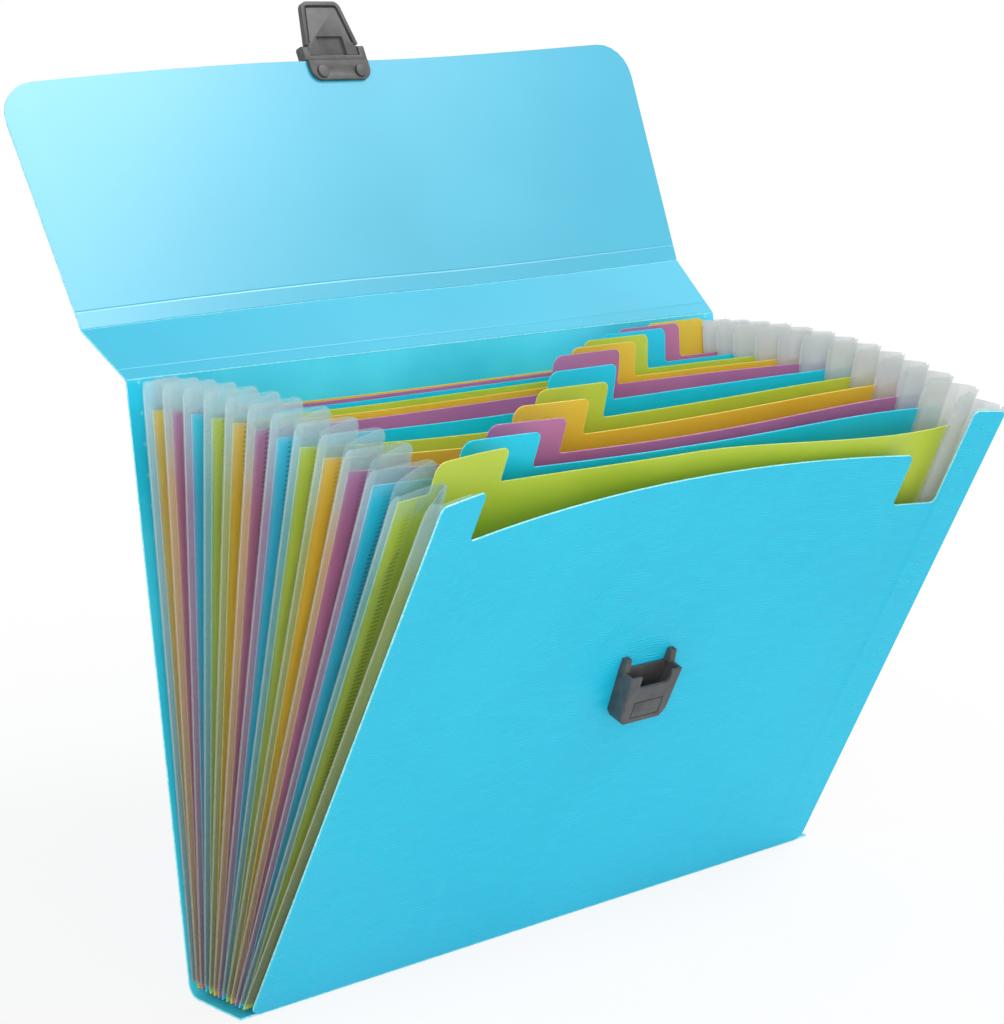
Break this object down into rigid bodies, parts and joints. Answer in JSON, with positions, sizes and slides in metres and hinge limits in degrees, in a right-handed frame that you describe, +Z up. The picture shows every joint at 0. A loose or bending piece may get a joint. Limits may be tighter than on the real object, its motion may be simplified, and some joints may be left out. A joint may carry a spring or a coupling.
{
  "type": "accordion file folder",
  "caption": "Expanding file folder standing open: a creased blue cover with tabbed dividers between pleated frosted gussets, and a hinged latch that meets a catch on the front.",
  "frame": {"origin": "middle of the underside of the base strip", "axes": "+X to the right along the folds, +Y to the back, +Z up; the front panel faces -Y"},
  "size_m": [0.33, 0.237, 0.3598],
  "materials": {
    "cover_blue": "embossed satin polypropylene sheet",
    "divider_orange": "smooth polypropylene sheet",
    "divider_purple": "smooth polypropylene sheet",
    "divider_blue": "smooth polypropylene sheet",
    "divider_green": "smooth polypropylene sheet",
    "gusset_frosted": "frosted see-through polypropylene",
    "clasp_grey": "moulded dark grey plastic"
  },
  "bodies": {
    "base": {"base_strip": "cover_blue"},
    "back": {"back_panel": "cover_blue", "gusset_left_pleat_00": "gusset_frosted", "gusset_right_pleat_00": "gusset_frosted"},
    "front": {"front_panel": "cover_blue", "catch_body": "clasp_grey", "catch_backing_plate": "clasp_grey", "catch_rivets": "clasp_grey", "gusset_left_front_strip": "gusset_frosted", "gusset_right_front_strip": "gusset_frosted"},
    "spine": {"spine_strip": "cover_blue"},
    "flap": {"flap": "cover_blue", "latch_outer_plate": "clasp_grey", "latch_inner_plate": "clasp_grey", "latch_rivets": "clasp_grey", "latch_hinge_pin": "clasp_grey"},
    "tongue": {"latch_tongue": "clasp_grey"},
    "pocket_01": {"divider_01": "divider_orange", "gusset_left_pleat_01": "gusset_frosted", "gusset_right_pleat_01": "gusset_frosted"},
    "pocket_02": {"divider_02": "divider_purple", "gusset_left_pleat_02": "gusset_frosted", "gusset_right_pleat_02": "gusset_frosted"},
    "pocket_03": {"divider_03": "divider_blue", "gusset_left_pleat_03": "gusset_frosted", "gusset_right_pleat_03": "gusset_frosted"},
    "pocket_04": {"divider_04": "divider_green", "gusset_left_pleat_04": "gusset_frosted", "gusset_right_pleat_04": "gusset_frosted"},
    "pocket_05": {"divider_05": "divider_orange", "gusset_left_pleat_05": "gusset_frosted", "gusset_right_pleat_05": "gusset_frosted"},
    "pocket_06": {"divider_06": "divider_purple", "gusset_left_pleat_06": "gusset_frosted", "gusset_right_pleat_06": "gusset_frosted"},
    "pocket_07": {"divider_07": "divider_blue", "gusset_left_pleat_07": "gusset_frosted", "gusset_right_pleat_07": "gusset_frosted"},
    "pocket_08": {"divider_08": "divider_green", "gusset_left_pleat_08": "gusset_frosted", "gusset_right_pleat_08": "gusset_frosted"},
    "pocket_09": {"divider_09": "divider_orange", "gusset_left_pleat_09": "gusset_frosted", "gusset_right_pleat_09": "gusset_frosted"},
    "pocket_10": {"divider_10": "divider_purple", "gusset_left_pleat_10": "gusset_frosted", "gusset_right_pleat_10": "gusset_frosted"},
    "pocket_11": {"divider_11": "divider_blue", "gusset_left_pleat_11": "gusset_frosted", "gusset_right_pleat_11": "gusset_frosted"},
    "pocket_12": {"divider_12": "divider_green", "gusset_left_pleat_12": "gusset_frosted", "gusset_right_pleat_12": "gusset_frosted"}
  },
  "joints": [
    {"name": "fan_fold", "type": "hinge", "parent": "base", "child": "front", "pos_m": [0, -0.0145, 0.0004], "axis": [-1, 0, 0], "range_deg": [0, 19.5], "deforming": ["gusset_left_pleat_00", "gusset_right_pleat_00", "gusset_left_pleat_01", "gusset_right_pleat_01", "gusset_left_pleat_02", "gusset_right_pleat_02", "gusset_left_pleat_03", "gusset_right_pleat_03", "gusset_left_pleat_04", "gusset_right_pleat_04", "gusset_left_pleat_05", "gusset_right_pleat_05", "gusset_left_pleat_06", "gusset_right_pleat_06", "gusset_left_pleat_07", "gusset_right_pleat_07", "gusset_left_pleat_08", "gusset_right_pleat_08", "gusset_left_pleat_09", "gusset_right_pleat_09", "gusset_left_pleat_10", "gusset_right_pleat_10", "gusset_left_pleat_11", "gusset_right_pleat_11", "gusset_left_pleat_12", "gusset_right_pleat_12", "gusset_left_front_strip", "gusset_right_front_strip"]},
    {"name": "back_fold", "type": "hinge", "parent": "base", "child": "back", "pos_m": [0, 0.0145, 0.0004], "axis": [1, 0, 0], "range_deg": [0, 11]},
    {"name": "pocket_01_fold", "type": "hinge", "parent": "base", "child": "pocket_01", "pos_m": [0, 0.01227, 0.0004], "axis": [1, 0, 0], "range_deg": [0, 8.75]},
    {"name": "pocket_02_fold", "type": "hinge", "parent": "base", "child": "pocket_02", "pos_m": [0, 0.01004, 0.0004], "axis": [1, 0, 0], "range_deg": [0, 6.5]},
    {"name": "pocket_03_fold", "type": "hinge", "parent": "base", "child": "pocket_03", "pos_m": [0, 0.00781, 0.0004], "axis": [1, 0, 0], "range_deg": [0, 4.25]},
    {"name": "pocket_04_fold", "type": "hinge", "parent": "base", "child": "pocket_04", "pos_m": [0, 0.00558, 0.0004], "axis": [1, 0, 0], "range_deg": [0, 2]},
    {"name": "pocket_05_fold", "type": "hinge", "parent": "base", "child": "pocket_05", "pos_m": [0, 0.00335, 0.0004], "axis": [1, 0, 0], "range_deg": [-0.2505, 0]},
    {"name": "pocket_06_fold", "type": "hinge", "parent": "base", "child": "pocket_06", "pos_m": [0, 0.00112, 0.0004], "axis": [1, 0, 0], "range_deg": [-2.5, 0]},
    {"name": "pocket_07_fold", "type": "hinge", "parent": "base", "child": "pocket_07", "pos_m": [0, -0.00112, 0.0004], "axis": [1, 0, 0], "range_deg": [-4.75, 0]},
    {"name": "pocket_08_fold", "type": "hinge", "parent": "base", "child": "pocket_08", "pos_m": [0, -0.00335, 0.0004], "axis": [1, 0, 0], "range_deg": [-7, 0]},
    {"name": "pocket_09_fold", "type": "hinge", "parent": "base", "child": "pocket_09", "pos_m": [0, -0.00558, 0.0004], "axis": [1, 0, 0], "range_deg": [-9.25, 0]},
    {"name": "pocket_10_fold", "type": "hinge", "parent": "base", "child": "pocket_10", "pos_m": [0, -0.00781, 0.0004], "axis": [1, 0, 0], "range_deg": [-11.5, 0]},
    {"name": "pocket_11_fold", "type": "hinge", "parent": "base", "child": "pocket_11", "pos_m": [0, -0.01004, 0.0004], "axis": [1, 0, 0], "range_deg": [-13.75, 0]},
    {"name": "pocket_12_fold", "type": "hinge", "parent": "base", "child": "pocket_12", "pos_m": [0, -0.01227, 0.0004], "axis": [1, 0, 0], "range_deg": [-16, 0]},
    {"name": "spine_fold", "type": "hinge", "parent": "back", "child": "spine", "pos_m": [0, 0.05858, 0.22716], "axis": [1, 0, 0], "range_deg": [0, 134]},
    {"name": "flap_fold", "type": "hinge", "parent": "spine", "child": "flap", "pos_m": [0, 0.08397, 0.24494], "axis": [1, 0, 0], "range_deg": [-60, 58]},
    {"name": "tongue_hinge", "type": "hinge", "parent": "flap", "child": "tongue", "pos_m": [0, 0.13606, 0.33865], "axis": [-1, 0, 0], "range_deg": [0, 100]}
  ],
  "couplings": [
    {"joint": "back_fold", "follows": "fan_fold", "ratio": 0.5641},
    {"joint": "pocket_01_fold", "follows": "fan_fold", "ratio": 0.44872},
    {"joint": "pocket_02_fold", "follows": "fan_fold", "ratio": 0.33333},
    {"joint": "pocket_03_fold", "follows": "fan_fold", "ratio": 0.21795},
    {"joint": "pocket_04_fold", "follows": "fan_fold", "ratio": 0.10256},
    {"joint": "pocket_05_fold", "follows": "fan_fold", "ratio": -0.012821},
    {"joint": "pocket_06_fold", "follows": "fan_fold", "ratio": -0.12821},
    {"joint": "pocket_07_fold", "follows": "fan_fold", "ratio": -0.24359},
    {"joint": "pocket_08_fold", "follows": "fan_fold", "ratio": -0.35897},
    {"joint": "pocket_09_fold", "follows": "fan_fold", "ratio": -0.47436},
    {"joint": "pocket_10_fold", "follows": "fan_fold", "ratio": -0.58974},
    {"joint": "pocket_11_fold", "follows": "fan_fold", "ratio": -0.70513},
    {"joint": "pocket_12_fold", "follows": "fan_fold", "ratio": -0.82051},
    {"joint": "spine_fold", "follows": "fan_fold", "ratio": 6.8718}
  ]
}
